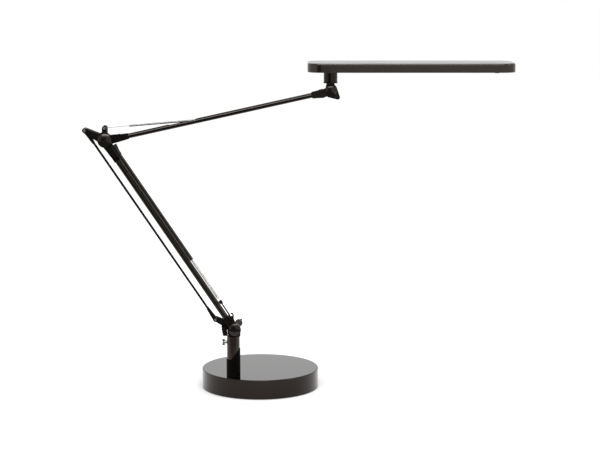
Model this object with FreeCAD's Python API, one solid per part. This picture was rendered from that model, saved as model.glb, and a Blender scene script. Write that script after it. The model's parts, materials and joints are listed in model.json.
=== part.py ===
import FreeCAD, Part
import math
import os

# Spring-balanced desk lamp on a heavy round base: swivelling bracket, lower arm with a
# parallel level rod, elbow plates that stay level, upper arm, and a flat light head.
# Millimetres. Origin: centre of the base's underside. +X towards the head, +Z up.
# Y offsets named "..._y" below are measured from the plane that both arms swing in.

# ---- base ----
base_radius = 98.6
base_height = 33.0
cover_wall = 3.0
cover_top_round = 1.6
cover_lift = 0.8            # the cover stops short of the table
pad_thickness = 2.0
pad_inset = 7.0
plate_thickness = 2.5
weight_gap = 0.5            # round the iron weight, inside the cover
fitted_gap = 0.02           # between pieces pressed or screwed together
base_screw_radius = 2.5
base_screw_head_radius = 4.6
base_screw_inset = 30.0     # from the cover's side
base_screw_count = 4
base_screw_length = 14.0

# ---- post on the base ----
post_inset = 13.164         # post's axis from the cover's side
post_direction = 240.014    # degrees round the base
post_radius = 10.6
post_top = 102.0
post_foot = 20.0            # solid foot above the cover
post_wall = 2.0
bush_flange = 1.0
bush_floor = 1.5
sleeve_wall = 0.9
sleeve_low = 64.5
sleeve_high = 83.0
sleeve_flat_share = 4.0     # the slanting edge starts this far left of the post's axis
post_bolt_radius = 4.0
post_bolt_head_radius = 6.5
post_bolt_head = 5.0
post_bolt_grip = 15.0
spindle_radius = 6.0
spindle_length = 45.0
spindle_groove = 0.7
spindle_groove_half = 3.0
spindle_chamfer = 1.0
turning_gap = 0.05          # radial clearance of every turning fit
sliding_gap = 0.3           # between faces that move past each other
cut_past = 1.0              # cutting shapes run this far past the faces they open
drill_reach = 30.0          # half length of a drill along Y

# ---- thumb screw on the post ----
thumb_z = 92.5
thumb_stem_radius = 2.4
thumb_stem_show = 3.0
thumb_collar_radius = 3.2
thumb_collar = 2.0
thumb_wing_span = 10.4
thumb_wing_length = 5.0
thumb_wing_thick = 2.0
thumb_wing_root = 1.5
thumb_wing_round = 1.4

# ---- arm geometry ----
lower_pivot_offset = 2.8    # pivot to the right of the post's axis
lower_pivot_z = 114.5
arm_length = 376.5          # both arms, pivot to pivot; the link rod is as long
lower_arm_angle = 123.8     # from +X, upwards
upper_arm_angle = 12.5
link_x = -32.2              # level rod pins, from the pivots
link_z = 16.4
cheek_inner_y = 5.3         # half the gap between cheeks
cheek_thick = 2.2
tongue_gap = 0.3            # side play of a tongue or fork in its cheeks
pivot_bolt_radius = 3.0
pin_radius = 1.25
pin_head_radius = 1.9
pin_head = 0.9

# ---- swivel bracket ----
bracket_disc_radius = 10.2
bracket_ear_radius = 4.7
bracket_back_radius = 7.8     # behind the cap the washer shows, not the cheek
bracket_foot_half = 9.0
bracket_web = 3.2
bracket_round = 3.0
stud_x = -5.2
stud_z = 20.7
stud_radius = 1.3
stud_strap_foot = 5.6
stud_ear_radius = 2.6
stud_length = 3.3
stud_head_radius = 1.9
stud_head = 0.8
gland_rib = 1.9
gland_rib_pitch = 4.1
gland_rib_count = 4
gland_rib_stand = 0.9
gland_foot = 1.2            # below the lowest rib
gland_low = -11.0
gland_left = (-20.0, -23.0, 5.2)    # x at the bottom, x and height at the top
gland_right = (-11.8, -13.4, 2.6)

# ---- caps, wing nut ----
cap_side = 2.0
cap_rise = 4.4
cap_hollow_depth = 2.9
cap_step = 1.1
cap_edge = 0.35
cap_seat = 3.9              # width of a cap's rim on its cheek
lower_cap_radius = 10.2
elbow_cap_radius = 11.4
head_cap_radius = 9.5
bolt_head_radius = 5.0
bolt_head = 2.2
washer_radius = 7.0
washer_thick = 1.2
bolt_tail = 2.5             # past the wing nut
wing_hub_radius = 5.6
wing_hub = 7.4
wing_root_radius = 4.6
wing_reach = 9.4             # middle of a wing's round end, from the bolt
wing_end_radius = 6.4
wing_thick = 3.0
wing_angle = 52.0
wing_tip_radius = 1.6
wing_tip_stand = 0.4         # middle of a tip beyond its wing's end

# ---- lower arm ----
lower_tube_radius = 5.0
lower_tube_z = -1.7          # below the line of the pivots
tube_wall = 1.0
lower_tube_start = 39.0
lower_tube_tail = 25.0      # the tube ends this far before the lower pivot
plug_length = 17.0
lower_tongue_radius = 7.4
lower_tongue_half = 5.6
lower_tongue_low = 7.2
fork_eye_radius = 10.2
fork_slot_half = 2.4
fork_slot_end = 22.0
fork_wide_end = 26.0
fork_wide_low = 7.4
fork_body_half = 5.6
fork_body_low = 6.9
fork_step = 2.0
bridge_low = 3.0            # the carrier's bridge on the fork's cheek
bridge_reach = 2.3
spring_tube_z = 7.25
spring_tube_y = -7.6
spring_tube_radius = 3.1
spring_tube_wall = 0.45
spring_tube_start = 20.0
spring_tube_tail = 136.5     # the tube ends this far before the lower pivot
fork_neck = 9.0             # half width of the fork beside its eye
carrier_start = 13.6
carrier_end = 33.0
carrier_radius = 4.2
carrier_horn = (14.3, 13.4)   # corner in front of the upper arm, from the elbow
carrier_horn_foot = (30.0, 10.5)
carrier_flat_y = -4.7       # cut flat here, so that the upper arm folds past it
anchor_tail = 159.5          # the spring's pin, from the lower pivot
anchor_radius = 0.9
saddle_length = 9.0
saddle_thick = 3.0
saddle_first = 66.0          # from the elbow
saddle_last = 12.0           # before the tube's open end

# ---- springs ----
spring_wire = 0.6           # wire radius
spring_turn_radius = 1.9    # centre line of the turns
lower_spring_turns = 22
upper_spring_turns = 20
lower_spring_coil_tail = 149.5   # first turn, from the lower pivot
lower_spring_tail = 55.5     # last turn's end, from the lower pivot
hook_ferrule_radius = 2.5
hook_ferrule = 6.0
hook_wire = 0.9
hook_turn_radius = 2.9
hook_bend_radius = 4.0
hook_side = 4.0             # straight sides of the oval eye
hook_y = -9.1
hook_centre = (-0.35, 0.55) # lower bend of the eye, from the stud
hook_close = 112.0          # degrees by which the eye's top bends back
wire_touch = 0.1            # between a spring's end and its pin or roller

# ---- level rod ----
rod_radius = 1.8
rod_end_half_y = 4.9
lower_rod_eye_radius = 3.8
upper_rod_eye_radius = 3.7
lower_rod_end_length = 24.0
upper_rod_end_length = 26.0
rod_neck_radius = 2.3
rod_socket = 8.0
open_pivot_gap = 0.3        # the linkage closes here without touching

# ---- elbow plates ----
elbow_disc_radius = 11.6
elbow_ear_radius = 4.1
elbow_strap_foot = 7.6
spring_ear_z = 20.2
ear_fillet = 4.0
roller_radius = 2.6
roller_groove = 0.7
roller_groove_half = 1.2

# ---- upper arm ----
upper_tube_radius = 4.15
upper_tube_z = -1.3          # below the line of the pivots
upper_tube_start = 39.0
upper_tube_tail = 33.0
upper_tongue_half_y = 2.1
upper_eye_radius = 9.3
upper_fit_top = 5.4
upper_fit_low = 7.4
upper_fit_step = 27.0
upper_fit_lip = 0.5           # the body stands this far over the tube at its end
upper_fit_half_y = 4.15
upper_fit_ramp = 0.9
slot_start = 106.0
slot_end = 153.0
slot_half = 2.95
upper_spring_coil_start = 43.0
upper_spring_coil_end = 143.0
spring_eye_neck = 3.2       # eye's radii from its middle to where the wire runs straight
spring_eye_open = 285.0     # degrees round the roller where the wire ends
upper_anchor_at = 151.5
upper_spring_fall = 7.6     # degrees between the spring and the upper arm
head_fit_half_y = 4.6
head_fit_half = 6.5
head_fit_step = 20.0
head_fit_ramp = 2.0
head_fit_clear = 3.2        # between the body's shoulder and the knuckle's cheeks
head_tongue_radius = 7.8
head_tongue_half_y = 3.5

# ---- head knuckle and boss ----
knuckle_disc_radius = 9.8
knuckle_cheek_y = 3.8
knuckle_thick = 2.4
knuckle_neck_half = 6.3
knuckle_ear_x = 10.4
knuckle_ear_z = -11.4
knuckle_ear_radius = 3.5
knuckle_heel = (-3.3, -7.2, 4.4)    # middle and radius of the rounded lower corner
stop_pin_radius = 1.4
knuckle_round = 2.0
knuckle_roof = 2.2
stop_pin_stand = 0.5
boss_offset = -1.4          # boss axis from the head pivot
boss_bottom = 11.4
boss_radius = 11.1
boss_rim = 0.5
boss_rim_height = 2.0
boss_wall = 2.5
head_spindle_radius = 5.0
head_spindle_top = 13.5     # above the boss's lower face
head_bush_top = 12.0
clip_thick = 0.8
clip_radius = 6.4
clip_groove = 0.6

# ---- light head ----
head_bottom = 30.7          # above the head pivot
head_length = 333.0
head_depth = 90.0
head_thick = 14.7
head_corner = 22.0
head_top_round = 2.6
head_low_round = 0.8
head_wall = 2.0
head_left = 37.3            # free edge to the boss's axis
cover_sheet = 2.0
window_left = 72.0          # from the free edge near the boss
window_right = 37.0         # from the far edge
window_half = 32.0
window_lip = 2.0
window_corner = 4.0
window_set_in = 0.5         # the diffuser's face above the sheet's face
diffuser_thick = 2.0
board_thick = 1.6
spreader_thick = 1.5
led_rows = 2
led_count = 12
led_size = 3.5
led_height = 0.8
led_row_share = 0.9         # row spacing as a share of half the window's width
led_end_gap = 12.0
spreader_inset = 4.0
board_inset = 3.0
driver_length = 44.0
driver_width = 30.0
driver_height = 7.0
driver_from_edge = 7.0
head_screw_radius = 1.5
head_screw_head = 2.8
head_screw_inset = 12.0
head_post_radius = 4.0
head_screw_length = 8.0
switch_inset = 26.6         # from the far edge
switch_radius = 4.0
switch_flat = 3.4
switch_stand = 3.2
switch_flange = 5.2
switch_flange_thick = 1.2
switch_travel = 1.0
switch_body_side = 9.0
switch_seat_gap = 0.05      # flange above the cover sheet

# ---- places worked out from the sizes ----
post_x = (base_radius - post_inset) * math.cos(math.radians(post_direction))
arm_plane_y = (base_radius - post_inset) * math.sin(math.radians(post_direction))
pivot_x = post_x + lower_pivot_offset
elbow_x = pivot_x + arm_length * math.cos(math.radians(lower_arm_angle))
elbow_z = lower_pivot_z + arm_length * math.sin(math.radians(lower_arm_angle))
head_x = elbow_x + arm_length * math.cos(math.radians(upper_arm_angle))
head_z = elbow_z + arm_length * math.sin(math.radians(upper_arm_angle))
cheek_outer_y = cheek_inner_y + cheek_thick
knuckle_outer_y = knuckle_cheek_y + knuckle_thick
bracket_floor = post_top + bush_flange + sliding_gap
web_top = bracket_floor + bracket_web


def vec(x, y, z):
    return FreeCAD.Vector(x, y, z)


def cylinder(radius, start, end):
    """Cylinder from one point to another."""
    axis = end - start
    return Part.makeCylinder(radius, axis.Length, start, axis)


def across(radius, low_y, high_y, x=0.0, z=0.0):
    """Cylinder along Y."""
    return cylinder(radius, vec(x, low_y, z), vec(x, high_y, z))


def drilled(shape, radius, x=0.0, z=0.0, low_y=-drill_reach, high_y=drill_reach):
    """The shape with a round hole along Y."""
    return shape.cut(across(radius, low_y, high_y, x, z))


def lathe(points, centre, axis):
    """Turn a closed outline of (radius, height) points about an axis."""
    corners = [vec(r, 0, h) for r, h in points]
    return turned(Part.makePolygon(corners + corners[:1]), centre, axis)


def turned(outline, centre, axis):
    """Turn a closed wire in the XZ plane about Z, then stand it on an axis."""
    solid = Part.Face(outline).revolve(vec(0, 0, 0), vec(0, 0, 1), 360)
    turn = FreeCAD.Rotation(vec(0, 0, 1), axis)
    solid.Placement = FreeCAD.Placement(centre, turn)
    return solid


def disc(radius, x=0.0, z=0.0):
    """Flat round outline in the arm plane."""
    edge = Part.Circle(vec(x, 0, z), vec(0, -1, 0), radius).toShape()
    return Part.Face(Part.Wire([edge]))


def patch(points):
    """Flat outline of (x, z) points in the arm plane."""
    corners = [vec(x, 0, z) for x, z in points]
    return Part.Face(Part.makePolygon(corners + corners[:1]))


def strap(x0, z0, r0, x1, z1, r1):
    """Flat outline that tapers from one round end to another, with tangent sides."""
    span = math.hypot(x1 - x0, z1 - z0)
    heading = math.atan2(z1 - z0, x1 - x0)
    lean = math.acos((r0 - r1) / span)

    def at(x, z, radius, angle):
        return vec(x + radius * math.cos(angle), 0, z + radius * math.sin(angle))

    first = [at(x0, z0, r0, heading + side * lean) for side in (1, -1)]
    last = [at(x1, z1, r1, heading + side * lean) for side in (1, -1)]
    edges = [Part.LineSegment(first[0], last[0]).toShape(),
             Part.Arc(last[0], at(x1, z1, r1, heading), last[1]).toShape(),
             Part.LineSegment(last[1], first[1]).toShape(),
             Part.Arc(first[1], at(x0, z0, r0, heading + math.pi), first[0]).toShape()]
    return Part.Face(Part.Wire(edges))


def plate(outlines, low_y, high_y, inner_round=0.0):
    """Plate from flat outlines that meet, its inner corners rounded, thick along Y."""
    thick = vec(0, high_y - low_y, 0)
    solid = outlines[0].extrude(thick)
    if len(outlines) > 1:
        solid = joined(solid, *[outline.extrude(thick) for outline in outlines[1:]])
    if inner_round:
        side = [f for f in solid.Faces if f.BoundBox.YMax < 1e-6][0]
        wider = side.makeOffset2D(inner_round).Faces[0]
        solid = wider.makeOffset2D(-inner_round).Faces[0].extrude(thick)
    solid.translate(vec(0, low_y, 0))
    return solid


def slab(points, low_y, high_y):
    """Extrude a closed outline of (x, z) points along Y."""
    return plate([patch(points)], low_y, high_y)


def joined(first, *rest):
    """One solid from several that meet."""
    whole = first.fuse(list(rest)).removeSplitter()
    return whole.Solids[0] if len(whole.Solids) == 1 else whole


def along_arm(shape, pivot, angle):
    """Lay a piece built along +X from the origin onto an arm."""
    turned = shape.copy()
    turned.rotate(vec(0, 0, 0), vec(0, 1, 0), -angle)
    turned.translate(vec(pivot[0], arm_plane_y, pivot[1]))
    return turned


def at_pivot(shape, pivot):
    moved = shape.copy()
    moved.translate(vec(pivot[0], arm_plane_y, pivot[1]))
    return moved


lower_pivot = (pivot_x, lower_pivot_z)
elbow_pivot = (elbow_x, elbow_z)
head_pivot = (head_x, head_z)


def arc_between(start, corner, end):
    """Arc that leaves start towards the corner and reaches end coming from it."""
    middle = (start + end) * 0.5
    rise = (corner - middle).Length
    half = (end - start).Length * 0.5
    turn = math.atan2(rise, half)
    peak = middle + (corner - middle).normalize() * (half * math.tan(turn / 2))
    return Part.Arc(start, peak, end).toShape()


def biarc(start, start_way, end, end_way):
    """Two tangent arcs from one point and direction to another."""
    gap = end - start
    both = start_way + end_way
    along = gap.dot(both)
    spread = 2 * (1 - start_way.dot(end_way))
    reach = (-along + math.sqrt(along * along + spread * gap.dot(gap))) / spread
    first = start + start_way * reach
    second = end - end_way * reach
    meeting = (first + second) * 0.5
    return [arc_between(start, first, meeting), arc_between(meeting, second, end)]


def coil_points(turns, radius, length):
    """Half-turn points and directions of a coil about +X, from the origin."""
    places = []
    climb = length / (turns * 2 * math.pi)
    slope = math.hypot(radius, climb)
    for step in range(2 * turns + 1):
        angle = math.pi * step
        place = vec(climb * angle, radius * math.sin(angle), radius * math.cos(angle))
        way = vec(climb, radius * math.cos(angle), -radius * math.sin(angle)) * (1 / slope)
        places.append((place, way))
    return places


def wire_body(edges, radius):
    """Round wire along joined edges."""
    path = Part.Wire(edges)
    first = edges[0]
    start = first.valueAt(first.FirstParameter)
    way = first.tangentAt(first.FirstParameter)
    ring = Part.Wire([Part.Circle(start, way, radius).toShape()])
    pipe = Part.BRepOffsetAPI.MakePipeShell(path)
    pipe.add(ring)
    pipe.build()
    pipe.makeSolid()
    return pipe.shape()


def least_gap(places, wire, neighbours):
    """Least free space between a coil's wire and its next turns, from its points."""
    least = 1e9
    for index in range(len(places) - neighbours):
        apart = (places[index + neighbours][0] - places[index][0]).Length
        least = min(least, apart - 2 * wire)
    return least


def coil_places(coil_start, coil_end, turns):
    """Half-turn points of a coil from coil_start to coil_end on +X; prints its least gap."""
    places = coil_points(turns, spring_turn_radius, coil_end - coil_start)
    places = [(place + vec(coil_start, 0, 0), way) for place, way in places]
    print("least gap between turns", round(least_gap(places, spring_wire, 2), 2))
    return places


def coil_edges(begin, places, finish):
    """Arcs from a point on the axis through the coil's points to a point on the axis."""
    ahead = vec(1, 0, 0)
    stops = [(begin, ahead)] + places + [(finish, ahead)]
    edges = []
    for (start, start_way), (end, end_way) in zip(stops, stops[1:]):
        edges += biarc(start, start_way, end, end_way)
    return edges


def coil_spring(coil_start, coil_end, turns, lead_in, lead_out):
    """Tension spring about +X whose ends step in to the axis and run straight."""
    places = coil_places(coil_start, coil_end, turns)
    step_in = 2 * spring_turn_radius
    begin = vec(coil_start - step_in, 0, 0)
    finish = vec(coil_end + step_in, 0, 0)
    edges = [Part.LineSegment(begin - vec(lead_in, 0, 0), begin).toShape()]
    edges += coil_edges(begin, places, finish)
    edges.append(Part.LineSegment(finish, finish + vec(lead_out, 0, 0)).toShape())
    return wire_body(edges, spring_wire)


# ---- base pieces ----

def base_screw_places():
    places = []
    for index in range(base_screw_count):
        angle = math.radians(45 + 360 * index / base_screw_count)
        circle = base_radius - base_screw_inset
        places.append(vec(circle * math.cos(angle), circle * math.sin(angle), 0))
    return places


def base_parts():
    inner = base_radius - cover_wall
    ceiling = base_height - cover_wall
    cover = Part.makeCylinder(base_radius, base_height - cover_lift, vec(0, 0, cover_lift))
    top_edges = [e for e in cover.Edges if abs(e.CenterOfMass.z - base_height) < 1e-6
                 and isinstance(e.Curve, Part.Circle)]
    cover = cover.makeFillet(cover_top_round, top_edges)
    cover = cover.cut(Part.makeCylinder(inner, ceiling, vec(0, 0, 0)))
    foot = vec(post_x, arm_plane_y, 0)
    weight_floor = pad_thickness + plate_thickness
    weight = Part.makeCylinder(inner - weight_gap, ceiling - weight_floor, vec(0, 0, weight_floor))
    floor = Part.makeCylinder(inner - weight_gap, plate_thickness, vec(0, 0, pad_thickness))
    pad = Part.makeCylinder(base_radius - pad_inset, pad_thickness)
    screws = []
    for place in base_screw_places():
        head_height = base_screw_head_radius - base_screw_radius
        head = Part.makeCone(base_screw_head_radius, base_screw_radius, head_height,
                             place + vec(0, 0, pad_thickness))
        stem = Part.makeCylinder(base_screw_radius, base_screw_length,
                                 place + vec(0, 0, pad_thickness + head_height))
        screw = joined(head, stem)
        screws.append(screw)
        floor = floor.cut(screw)
        weight = weight.cut(screw)
    head_room = post_bolt_head_radius + sliding_gap
    bolt_seat = weight_floor + post_bolt_head
    bolt_top = base_height + post_bolt_grip
    bolt = cylinder(post_bolt_radius, foot + vec(0, 0, bolt_seat), foot + vec(0, 0, bolt_top))
    head = cylinder(post_bolt_head_radius, foot + vec(0, 0, weight_floor), foot + vec(0, 0, bolt_seat))
    bolt = joined(bolt, head)
    bolt_hole = cylinder(post_bolt_radius + fitted_gap, foot, foot + vec(0, 0, bolt_top + cut_past))
    weight = weight.cut(bolt_hole)
    weight = weight.cut(cylinder(head_room, foot, foot + vec(0, 0, bolt_seat)))
    cover = cover.cut(bolt_hole)
    return {"base_cover": cover, "base_weight": weight, "base_plate": floor, "base_pad": pad,
            "base_screws": Part.makeCompound(screws), "post_bolt": bolt}


def post_parts():
    foot = vec(post_x, arm_plane_y, 0)

    def at(z):
        return foot + vec(0, 0, z)

    bore = post_radius - post_wall
    bore_floor = base_height + post_foot
    tube = cylinder(post_radius, at(base_height), at(post_top))
    tube = tube.cut(cylinder(bore, at(bore_floor), at(post_top + cut_past)))
    bolt_top = base_height + post_bolt_grip + cut_past
    tube = tube.cut(cylinder(post_bolt_radius + fitted_gap, at(0), at(bolt_top)))
    bush_top = post_top + bush_flange
    bush = joined(cylinder(bore - fitted_gap, at(bore_floor), at(post_top)),
                  cylinder(post_radius, at(post_top), at(bush_top)))
    bush = bush.cut(cylinder(spindle_radius + turning_gap, at(bore_floor + bush_floor),
                             at(bush_top + cut_past)))
    screw_hole = cylinder(thumb_stem_radius + turning_gap,
                          at(thumb_z), at(thumb_z) + vec(-2 * post_radius, 0, 0))
    outer = post_radius + sleeve_wall
    sleeve = cylinder(outer, at(base_height), at(sleeve_high))
    sleeve = sleeve.cut(cylinder(post_radius + fitted_gap, at(0), at(sleeve_high + cut_past)))
    side = outer + cut_past
    above = slab([(-side, sleeve_low), (-sleeve_flat_share, sleeve_low), (outer, sleeve_high),
                  (side, sleeve_high + cut_past), (-side, sleeve_high + cut_past)], -side, side)
    above.translate(foot)
    return {"post_tube": tube.cut(screw_hole), "post_bush": bush.cut(screw_hole),
            "post_sleeve": sleeve.cut(above)}


def thumb_screw():
    """Wing screw along X: stem through the post's wall, collar and two wings outside."""
    tip = spindle_radius - spindle_groove + sliding_gap
    collar_at = post_radius + thumb_stem_show
    end = collar_at + thumb_collar
    stem = cylinder(thumb_stem_radius, vec(-tip, 0, 0), vec(-collar_at, 0, 0))
    collar = cylinder(thumb_collar_radius, vec(-collar_at, 0, 0), vec(-end, 0, 0))
    half = thumb_wing_span / 2
    root = thumb_wing_root
    bend = thumb_wing_round
    outer = collar_at + thumb_wing_length
    upper = [(-collar_at, root), (-collar_at - bend / 2, half), (-outer + bend / 2, half),
             (-outer, half - bend)]
    lower = [(x, -z) for x, z in reversed(upper)]
    wings = slab(upper + [(-outer + bend, 0.0)] + lower, -thumb_wing_thick / 2, thumb_wing_thick / 2)
    screw = joined(stem, collar, wings)
    screw.translate(vec(post_x, arm_plane_y, thumb_z))
    return screw


# ---- swivel bracket ----

def pin_with_heads(radius, x, z, low_y, high_y):
    """Plain pin along Y with a flat head at both ends."""
    return joined(across(radius, low_y, high_y, x, z),
                  across(pin_head_radius, low_y - pin_head, low_y, x, z),
                  across(pin_head_radius, high_y, high_y + pin_head, x, z))


def swivel_parts():
    spindle_x = post_x - pivot_x
    floor = bracket_floor - lower_pivot_z
    web = web_top - lower_pivot_z
    half = bracket_foot_half
    foot = patch([(-half, floor), (half, floor), (half, 0), (-half, 0)])
    gusset = patch([(-half, floor), (gland_right[0], floor), (gland_right[1], gland_right[2]),
                    (-half, bracket_back_radius)])
    back = plate([disc(bracket_back_radius), foot, gusset,
                  strap(0, 0, bracket_back_radius, link_x, link_z, bracket_ear_radius)],
                 cheek_inner_y, cheek_outer_y)
    front = plate([disc(bracket_disc_radius), foot,
                   strap(0, 0, stud_strap_foot, stud_x, stud_z, stud_ear_radius)],
                  -cheek_outer_y, -cheek_inner_y, bracket_round)
    floor_web = slab([(-half, floor), (half, floor), (half, web), (-half, web)],
                     -cheek_inner_y, cheek_inner_y)
    groove = spindle_radius - spindle_groove
    groove_low = thumb_z - spindle_groove_half - bracket_floor
    groove_high = thumb_z + spindle_groove_half - bracket_floor
    into_web = bracket_web / 2
    spindle = lathe([(0, -spindle_length), (spindle_radius - spindle_chamfer, -spindle_length),
                     (spindle_radius, spindle_chamfer - spindle_length),
                     (spindle_radius, groove_low - spindle_groove), (groove, groove_low),
                     (groove, groove_high), (spindle_radius, groove_high + spindle_groove),
                     (spindle_radius, into_web), (0, into_web)],
                    vec(spindle_x, 0, floor), vec(0, 0, 1))
    bracket = joined(back, front, floor_web, spindle)
    bracket = drilled(bracket, pivot_bolt_radius + fitted_gap)
    bracket = drilled(bracket, pin_radius + fitted_gap, link_x, link_z, low_y=0)
    bracket = drilled(bracket, stud_radius + fitted_gap, stud_x, stud_z, high_y=0)
    stud_end = -cheek_outer_y - stud_length
    stud = joined(across(stud_radius, stud_end, -cheek_inner_y, stud_x, stud_z),
                  across(stud_head_radius, stud_end - stud_head, stud_end, stud_x, stud_z))
    link_pin = pin_with_heads(pin_radius, link_x, link_z,
                              -rod_end_half_y - sliding_gap, cheek_outer_y)
    washer = across(washer_radius, cheek_outer_y, cheek_outer_y + washer_thick)
    parts = {"swivel_bracket": bracket, "spring_stud": stud, "rod_pin_lower": link_pin,
             "cable_gland": cable_gland(),
             "lower_pivot_bolt": pivot_bolt(cheek_outer_y,
                                            cheek_outer_y + washer_thick + wing_hub + bolt_tail),
             "lower_pivot_washer": drilled(washer, pivot_bolt_radius + fitted_gap),
             "lower_pivot_cap": dome_cap(lower_cap_radius, -1, cheek_outer_y)}
    return {name: at_pivot(shape, lower_pivot) for name, shape in parts.items()}


def pivot_bolt(seat_y, tail_y):
    """Bolt along Y: head in front of the near cheek, stem back to tail_y."""
    return joined(across(pivot_bolt_radius, -seat_y, tail_y),
                  across(bolt_head_radius, -seat_y - bolt_head, -seat_y))


def pivot_nut(seat_y):
    """Round nut behind the far cheek."""
    nut = across(bolt_head_radius, seat_y, seat_y + bolt_head)
    return drilled(nut, pivot_bolt_radius + fitted_gap)


def dome_cap(radius, side, seat_y):
    """Domed cap on a cheek, hollow over the bolt's head; side -1 is the front."""
    hollow = radius - cap_seat
    dome_radius = radius - cap_step
    shoulder = cap_side + cap_edge
    points = [(0, cap_rise), (0, cap_hollow_depth), (hollow, cap_hollow_depth), (hollow, 0),
              (radius - cap_edge, 0), (radius, cap_edge), (radius, cap_side - cap_edge),
              (radius - cap_edge, cap_side), (dome_radius, shoulder)]
    corners = [vec(r, 0, h) for r, h in points]
    rise = cap_rise - shoulder
    ball = (dome_radius ** 2 + rise ** 2) / (2 * rise)
    half_way = dome_radius / 2
    on_dome = vec(half_way, 0, cap_rise - ball + math.sqrt(ball ** 2 - half_way ** 2))
    edges = Part.makePolygon(corners).Edges + [Part.Arc(corners[-1], on_dome, corners[0]).toShape()]
    return turned(Part.Wire(edges), vec(0, side * seat_y, 0), vec(0, side, 0))


def cable_gland():
    """Ribbed block hanging below the back cheek's ear."""
    half = cheek_inner_y - tongue_gap
    inset = gland_rib_stand

    def side_x(side, z):
        low_x, high_x, high_z = side
        return low_x + (high_x - low_x) * (z - gland_low) / (high_z - gland_low)

    core = slab([(gland_left[1] + inset, gland_left[2]), (gland_right[1] - inset, gland_right[2]),
                 (gland_right[0] - inset, gland_low), (gland_left[0] + inset, gland_low)],
                -half + inset, cheek_inner_y)
    ribs = []
    for index in range(gland_rib_count):
        low = gland_low + gland_foot + index * gland_rib_pitch
        high = min(low + gland_rib, gland_right[2])
        ribs.append(slab([(side_x(gland_left, low), low), (side_x(gland_right, low), low),
                          (side_x(gland_right, high), high), (side_x(gland_left, high), high)],
                         -half, cheek_inner_y))
    return joined(core, *ribs)


def wing_nut():
    """Wing nut at the back of the lower pivot: two flat round wings with a dark tip on each."""
    seat = cheek_outer_y + washer_thick + fitted_gap
    top = seat + wing_hub
    hub = lathe([(0, 0), (wing_hub_radius, 0), (wing_hub_radius, wing_hub * 0.6),
                 (wing_hub_radius * 0.75, wing_hub), (0, wing_hub)], vec(0, seat, 0), vec(0, 1, 0))
    tip_x = wing_reach + wing_end_radius + wing_tip_stand
    tip_y = top - wing_thick / 2
    wing = plate([strap(0, 0, wing_root_radius, wing_reach, 0, wing_end_radius)],
                 top - wing_thick, top)
    wing = wing.cut(Part.makeSphere(wing_tip_radius + fitted_gap, vec(tip_x, tip_y, 0)))
    tip = Part.makeSphere(wing_tip_radius, vec(tip_x, tip_y, 0))
    wings = []
    tips = []
    for turn in (0, 180):
        for shape, copies in ((wing, wings), (tip, tips)):
            copy = shape.copy()
            copy.rotate(vec(0, 0, 0), vec(0, 1, 0), turn - wing_angle)
            copies.append(copy)
    nut = drilled(joined(hub, *wings), pivot_bolt_radius + turning_gap)
    return {"wing_nut": at_pivot(nut, lower_pivot),
            "wing_tips": at_pivot(Part.makeCompound(tips), lower_pivot)}


# ---- lower arm, built along +X from the elbow ----

def lower_arm_parts():
    tube_end = arm_length - lower_tube_tail
    bore = lower_tube_radius - tube_wall
    tube = cylinder(lower_tube_radius, vec(lower_tube_start, 0, lower_tube_z),
                    vec(tube_end, 0, lower_tube_z))
    tube = tube.cut(cylinder(bore, vec(0, 0, lower_tube_z), vec(arm_length, 0, lower_tube_z)))
    parts = {"lower_tube": tube, "lower_arm_fork": lower_arm_fork(),
             "lower_arm_tongue": lower_arm_tongue(tube_end)}
    spring_tube_end = arm_length - spring_tube_tail
    start = vec(spring_tube_start, spring_tube_y, spring_tube_z)
    end = vec(spring_tube_end, spring_tube_y, spring_tube_z)
    past = vec(cut_past, 0, 0)
    spring_tube = cylinder(spring_tube_radius, start, end)
    spring_tube = spring_tube.cut(cylinder(spring_tube_radius - spring_tube_wall,
                                           start - past, end + past))
    anchor_x = arm_length - anchor_tail
    anchor_half = spring_tube_radius + sliding_gap
    parts["spring_anchor"] = across(anchor_radius, spring_tube_y - anchor_half,
                                    spring_tube_y + spring_tube_radius, anchor_x, spring_tube_z)
    parts["spring_tube"] = drilled(spring_tube, anchor_radius + fitted_gap, anchor_x, spring_tube_z)
    parts["tube_saddles"] = Part.makeCompound([tube_saddle(saddle_first),
                                               tube_saddle(spring_tube_end - saddle_last)])
    return {name: along_arm(shape, elbow_pivot, lower_arm_angle - 180) for name, shape in parts.items()}


def tube_saddle(middle):
    """Small web between the main tube and the spring tube."""
    start = middle - saddle_length / 2
    rise = spring_tube_z - lower_tube_z
    angle = math.degrees(math.atan2(rise, -spring_tube_y))
    reach = math.hypot(rise, spring_tube_y)
    web = Part.makeBox(saddle_length, reach, saddle_thick, vec(start, -reach, -saddle_thick / 2))
    web.rotate(vec(0, 0, 0), vec(1, 0, 0), -angle)
    web.translate(vec(0, 0, lower_tube_z))
    for radius, y, z in ((lower_tube_radius, 0, lower_tube_z),
                         (spring_tube_radius, spring_tube_y, spring_tube_z)):
        web = web.cut(cylinder(radius + fitted_gap, vec(start - cut_past, y, z),
                               vec(start + saddle_length + cut_past, y, z)))
    return web


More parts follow.
